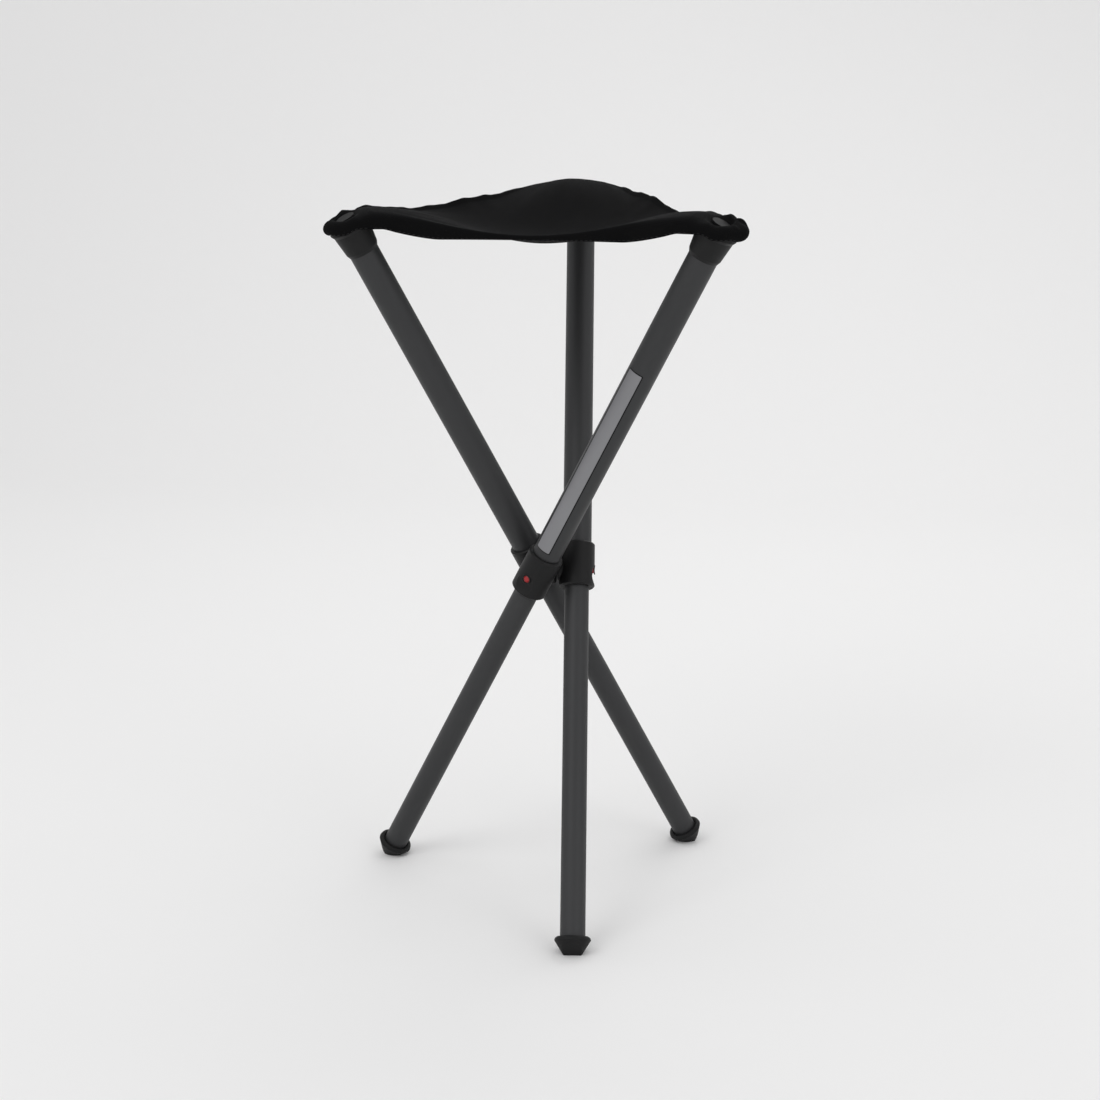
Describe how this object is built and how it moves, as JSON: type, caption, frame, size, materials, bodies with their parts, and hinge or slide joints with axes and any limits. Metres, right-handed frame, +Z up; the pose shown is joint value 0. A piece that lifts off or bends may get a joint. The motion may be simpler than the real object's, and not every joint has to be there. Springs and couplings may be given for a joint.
{
  "type": "stool",
  "caption": "Tripod camping stool with a black cloth seat and telescopic anodised legs that swivel on a small hub and fold into a bundle.",
  "frame": {"origin": "on the floor, on the upright axis of the hub, where the three legs are evenly spaced round it", "axes": "+Z up; +X to the right and -Y to the front as in the picture, with one seat corner at the rear (+Y) and two at the front"},
  "size_m": [0.3364, 0.3561, 0.6161],
  "materials": {
    "black_plastic": "satin",
    "seat_fabric": "woven",
    "webbing": "woven",
    "dark_tube": "satin",
    "grey_plastic": "matte",
    "red_plastic": "glossy",
    "guide_plastic": "matte",
    "washer_plastic": "matte",
    "screw_steel": "satin",
    "pin_metal": "satin",
    "spring_steel": "satin",
    "foot_rubber": "matte"
  },
  "bodies": {
    "hub": {"hub": "black_plastic", "seat_cloth": "seat_fabric", "pivot_screw_1": "screw_steel", "pivot_screw_2": "screw_steel", "pivot_screw_3": "screw_steel", "pivot_washer_1": "washer_plastic", "pivot_washer_2": "washer_plastic", "pivot_washer_3": "washer_plastic"},
    "leg_1": {"sleeve_1": "black_plastic", "upper_tube_1": "dark_tube", "leg_cap_1": "black_plastic", "corner_rivet_1": "grey_plastic"},
    "lower_leg_1": {"lower_tube_1": "dark_tube", "stop_ring_1": "guide_plastic", "slide_plug_1": "guide_plastic", "lock_spring_1": "spring_steel", "foot_1": "foot_rubber"},
    "button_1": {"release_button_1": "red_plastic"},
    "stud_1": {"lock_stud_1": "pin_metal"},
    "seat_corner_1": {"corner_tab_1": "webbing"},
    "leg_2": {"sleeve_2": "black_plastic", "upper_tube_2": "dark_tube", "leg_cap_2": "black_plastic", "corner_rivet_2": "grey_plastic"},
    "lower_leg_2": {"lower_tube_2": "dark_tube", "stop_ring_2": "guide_plastic", "slide_plug_2": "guide_plastic", "lock_spring_2": "spring_steel", "foot_2": "foot_rubber"},
    "button_2": {"release_button_2": "red_plastic"},
    "stud_2": {"lock_stud_2": "pin_metal"},
    "seat_corner_2": {"corner_tab_2": "webbing"},
    "leg_3": {"sleeve_3": "black_plastic", "upper_tube_3": "dark_tube", "leg_cap_3": "black_plastic", "corner_rivet_3": "grey_plastic"},
    "lower_leg_3": {"lower_tube_3": "dark_tube", "stop_ring_3": "guide_plastic", "slide_plug_3": "guide_plastic", "lock_spring_3": "spring_steel", "foot_3": "foot_rubber"},
    "button_3": {"release_button_3": "red_plastic"},
    "stud_3": {"lock_stud_3": "pin_metal"},
    "seat_corner_3": {"corner_tab_3": "webbing"}
  },
  "joints": [
    {"name": "fold_1", "type": "hinge", "parent": "hub", "child": "leg_1", "pos_m": [-0.00892, -0.02174, 0.2892], "axis": [0.3796, 0.9252, 0], "range_deg": [-29.3, 0], "deforming": ["seat_cloth"]},
    {"name": "telescope_1", "type": "slide", "parent": "leg_1", "child": "lower_leg_1", "axis": [-0.4528, 0.1858, -0.8721], "range_m": [-0.266, 0]},
    {"name": "button_1", "type": "slide", "parent": "leg_1", "child": "button_1", "axis": [-0.3796, -0.9252, 0], "range_m": [-0.0015, 0], "stiffness_N_per_m": 400, "springref_m": 0.0005},
    {"name": "stud_1", "type": "slide", "parent": "lower_leg_1", "child": "stud_1", "axis": [-0.3796, -0.9252, 0], "range_m": [0, 0.0015], "deforming": ["lock_spring_1"]},
    {"name": "seat_corner_1", "type": "hinge", "parent": "leg_1", "child": "seat_corner_1", "pos_m": [0.13102, -0.07916, 0.59534], "axis": [0.3796, 0.9252, 0], "range_deg": [-60.8, 0]},
    {"name": "fold_2", "type": "hinge", "parent": "hub", "child": "leg_2", "pos_m": [0.02329, 0.00315, 0.2892], "axis": [-0.991, -0.1339, 0], "range_deg": [-29.3, 0]},
    {"name": "telescope_2", "type": "slide", "parent": "leg_2", "child": "lower_leg_2", "axis": [0.0655, -0.485, -0.8721], "range_m": [-0.266, 0]},
    {"name": "button_2", "type": "slide", "parent": "leg_2", "child": "button_2", "axis": [0.991, 0.1339, 0], "range_m": [-0.0015, 0], "stiffness_N_per_m": 400, "springref_m": 0.0005},
    {"name": "stud_2", "type": "slide", "parent": "lower_leg_2", "child": "stud_2", "axis": [0.991, 0.1339, 0], "range_m": [0, 0.0015], "deforming": ["lock_spring_2"]},
    {"name": "seat_corner_2", "type": "hinge", "parent": "leg_2", "child": "seat_corner_2", "pos_m": [0.00304, 0.15305, 0.59534], "axis": [-0.991, -0.1339, 0], "range_deg": [-60.8, 0]},
    {"name": "fold_3", "type": "hinge", "parent": "hub", "child": "leg_3", "pos_m": [-0.01437, 0.0186, 0.2892], "axis": [0.6114, -0.7913, 0], "range_deg": [-29.3, 0]},
    {"name": "telescope_3", "type": "slide", "parent": "leg_3", "child": "lower_leg_3", "axis": [0.3872, 0.2992, -0.8721], "range_m": [-0.266, 0]},
    {"name": "button_3", "type": "slide", "parent": "leg_3", "child": "button_3", "axis": [-0.6114, 0.7913, 0], "range_m": [-0.0015, 0], "stiffness_N_per_m": 400, "springref_m": 0.0005},
    {"name": "stud_3", "type": "slide", "parent": "lower_leg_3", "child": "stud_3", "axis": [-0.6114, 0.7913, 0], "range_m": [0, 0.0015], "deforming": ["lock_spring_3"]},
    {"name": "seat_corner_3", "type": "hinge", "parent": "leg_3", "child": "seat_corner_3", "pos_m": [-0.13406, -0.07389, 0.59534], "axis": [0.6114, -0.7913, 0], "range_deg": [-60.8, 0]}
  ],
  "couplings": [
    {"joint": "seat_corner_1", "follows": "fold_1", "ratio": 2.07},
    {"joint": "fold_2", "follows": "fold_1", "ratio": 1},
    {"joint": "seat_corner_2", "follows": "fold_1", "ratio": 2.07},
    {"joint": "fold_3", "follows": "fold_1", "ratio": 1},
    {"joint": "seat_corner_3", "follows": "fold_1", "ratio": 2.07}
  ]
}
